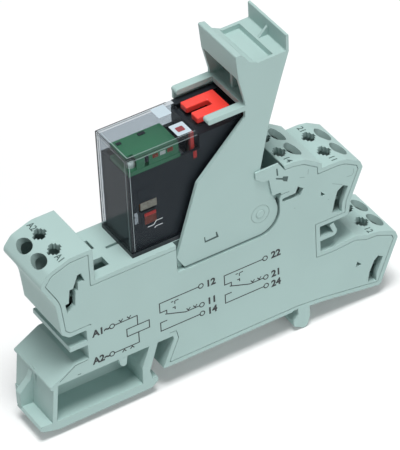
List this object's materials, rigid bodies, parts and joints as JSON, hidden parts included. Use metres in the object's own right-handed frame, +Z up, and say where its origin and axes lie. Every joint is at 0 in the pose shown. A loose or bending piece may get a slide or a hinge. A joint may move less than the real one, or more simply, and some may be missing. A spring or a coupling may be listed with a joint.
{
  "type": "relay module",
  "caption": "Slim rail-mounted terminal module with a plug-in changeover relay in a clear cover, held and ejected by a hinged lever with a marker channel",
  "frame": {"origin": "middle of the rail seat, at mid-width, on the face that lies on the top of the rail", "axes": "+X along the module from the coil terminals to the contact terminals, +Y to the back cover across the width, +Z up and away from the rail"},
  "size_m": [0.0874, 0.015, 0.0764],
  "materials": {
    "housing_grey": "fine matt moulded plastic, light grey with a green tint",
    "relay_black": "matt black moulded plastic",
    "smoke_clear": "clear smoke-tinted plastic, polished",
    "signal_red": "bright red moulded plastic",
    "bobbin_cream": "cream moulded plastic",
    "copper_wire": "enamelled copper winding",
    "soft_iron": "nickel-plated soft iron",
    "board_green": "green lacquered board",
    "lamp_green": "clear cast lamp",
    "resistor_brown": "red-brown lacquer",
    "tinned_copper": "tin-plated copper strip",
    "spring_steel": "bright spring steel",
    "contact_bronze": "copper-alloy contact strip with silver rivets"
  },
  "bodies": {
    "housing": {"base_housing": "housing_grey", "front_cover": "housing_grey", "rear_cover": "housing_grey", "current_bar_a1": "tinned_copper", "clamp_spring_a1": "spring_steel", "current_bar_a2": "tinned_copper", "clamp_spring_a2": "spring_steel", "current_bar_12": "tinned_copper", "clamp_spring_12": "spring_steel", "current_bar_22": "tinned_copper", "clamp_spring_22": "spring_steel", "current_bar_11": "tinned_copper", "clamp_spring_11": "spring_steel", "current_bar_21": "tinned_copper", "clamp_spring_21": "spring_steel", "current_bar_14": "tinned_copper", "clamp_spring_14": "spring_steel", "current_bar_24": "tinned_copper", "clamp_spring_24": "spring_steel"},
    "lever": {"lever": "housing_grey"},
    "relay": {"relay_base": "relay_black", "relay_cover": "smoke_clear", "contact_cap": "relay_black", "coil_bobbin": "bobbin_cream", "coil_winding": "copper_wire", "coil_core": "soft_iron", "yoke": "soft_iron", "indicator_board": "board_green", "indicator_lamp": "lamp_green", "board_resistors": "resistor_brown", "common_blade_front": "tinned_copper", "break_contact_front": "contact_bronze", "make_contact_front": "contact_bronze", "coil_blade_front": "tinned_copper", "common_blade_rear": "tinned_copper", "break_contact_rear": "contact_bronze", "make_contact_rear": "contact_bronze", "coil_blade_rear": "tinned_copper"},
    "button": {"test_button": "signal_red"},
    "armature": {"armature": "soft_iron"},
    "slider": {"actuator_card": "bobbin_cream", "position_flag": "signal_red"},
    "leaf_front": {"moving_spring_front": "contact_bronze"},
    "leaf_rear": {"moving_spring_rear": "contact_bronze"}
  },
  "joints": [
    {"name": "lever_hinge", "type": "hinge", "parent": "housing", "child": "lever", "pos_m": [0.0098, 0, 0.029], "axis": [0, 1, 0], "range_deg": [0, 25]},
    {"name": "relay_eject", "type": "slide", "parent": "housing", "child": "relay", "axis": [0, 0, 1], "range_m": [0, 0.0036]},
    {"name": "button_press", "type": "slide", "parent": "relay", "child": "button", "axis": [0, 0, -1], "range_m": [0, 0.0006], "stiffness_N_per_m": 400},
    {"name": "armature_hinge", "type": "hinge", "parent": "relay", "child": "armature", "pos_m": [-0.0052, 0, 0.04795], "axis": [0, -1, 0], "range_deg": [0, 4.4], "stiffness_Nm_per_rad": 0.02},
    {"name": "slider_travel", "type": "slide", "parent": "relay", "child": "slider", "axis": [1, 0, 0], "range_m": [0, 0.0005]},
    {"name": "leaf_front_flex", "type": "hinge", "parent": "relay", "child": "leaf_front", "pos_m": [0.0024, -0.0029, 0.03342], "axis": [0, 1, 0], "range_deg": [0, 3.6]},
    {"name": "leaf_rear_flex", "type": "hinge", "parent": "relay", "child": "leaf_rear", "pos_m": [0.0024, 0.0029, 0.03342], "axis": [0, 1, 0], "range_deg": [0, 3.6]}
  ],
  "couplings": [
    {"joint": "relay_eject", "follows": "lever_hinge", "m_per_rad": 0.0082},
    {"joint": "slider_travel", "follows": "armature_hinge", "m_per_rad": 0.00645},
    {"joint": "leaf_front_flex", "follows": "armature_hinge", "ratio": 0.798},
    {"joint": "leaf_rear_flex", "follows": "armature_hinge", "ratio": 0.798}
  ]
}
